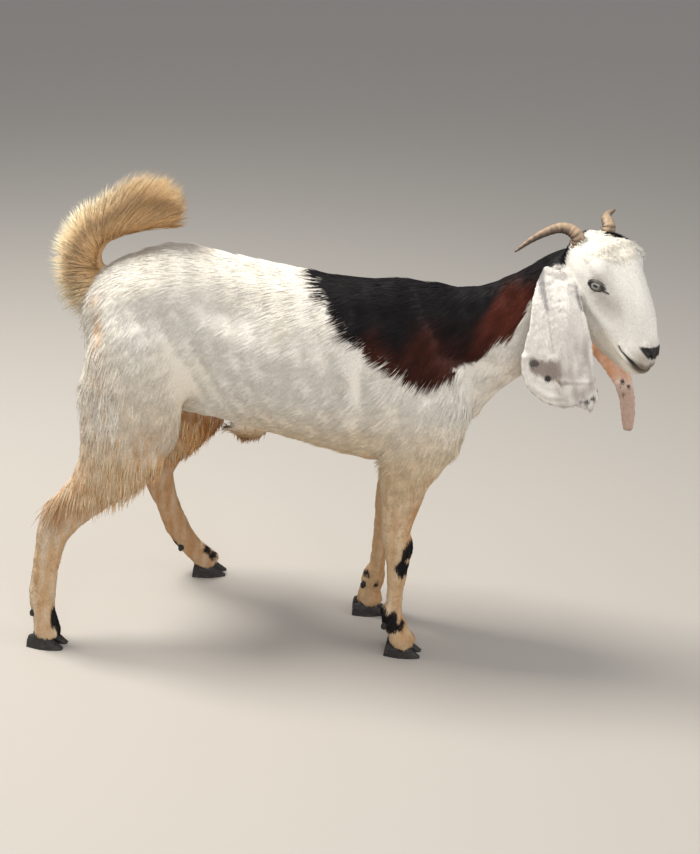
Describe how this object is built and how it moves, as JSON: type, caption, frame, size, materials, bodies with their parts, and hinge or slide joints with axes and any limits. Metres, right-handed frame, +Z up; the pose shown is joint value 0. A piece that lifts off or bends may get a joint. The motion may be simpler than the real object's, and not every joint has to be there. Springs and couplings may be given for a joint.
{
  "type": "goat",
  "caption": "Life-size still model of a young long-eared buck goat standing with its head turned aside; white and cream coat with a dark saddle patch.",
  "frame": {"origin": "on the floor, below the middle of the whole box", "axes": "+Z up, +X the way the body faces, +Y the goat's left"},
  "size_m": [1.1266, 0.3608, 0.9049],
  "materials": {
    "white_coat": "short hair",
    "cream_coat": "short and long hair",
    "ear_skin": "thinly haired skin",
    "horn": "dry ringed horn",
    "hoof": "dull horn",
    "eye": "wet gloss"
  },
  "bodies": {
    "root": {"trunk": "white_coat", "neck": "white_coat", "tail": "cream_coat", "eye_left": "eye", "eye_right": "eye", "horn_left": "horn", "ear_left": "ear_skin", "horn_right": "horn", "ear_right": "ear_skin", "head": "white_coat", "fore_left_forearm": "white_coat", "fore_left_cannon": "white_coat", "fore_left_dewclaw_outer": "hoof", "fore_left_dewclaw_inner": "hoof", "fore_left_claw_outer": "hoof", "fore_left_claw_inner": "hoof", "fore_left_pastern": "cream_coat", "hind_left_gaskin": "white_coat", "hind_left_cannon": "white_coat", "hind_left_dewclaw_outer": "hoof", "hind_left_dewclaw_inner": "hoof", "hind_left_claw_outer": "hoof", "hind_left_claw_inner": "hoof", "hind_left_pastern": "cream_coat", "fore_right_forearm": "white_coat", "fore_right_cannon": "white_coat", "fore_right_dewclaw_outer": "hoof", "fore_right_dewclaw_inner": "hoof", "fore_right_claw_outer": "hoof", "fore_right_claw_inner": "hoof", "fore_right_pastern": "cream_coat", "hind_right_gaskin": "white_coat", "hind_right_cannon": "white_coat", "hind_right_dewclaw_outer": "hoof", "hind_right_dewclaw_inner": "hoof", "hind_right_claw_outer": "hoof", "hind_right_claw_inner": "hoof", "hind_right_pastern": "cream_coat"}
  },
  "joints": []
}
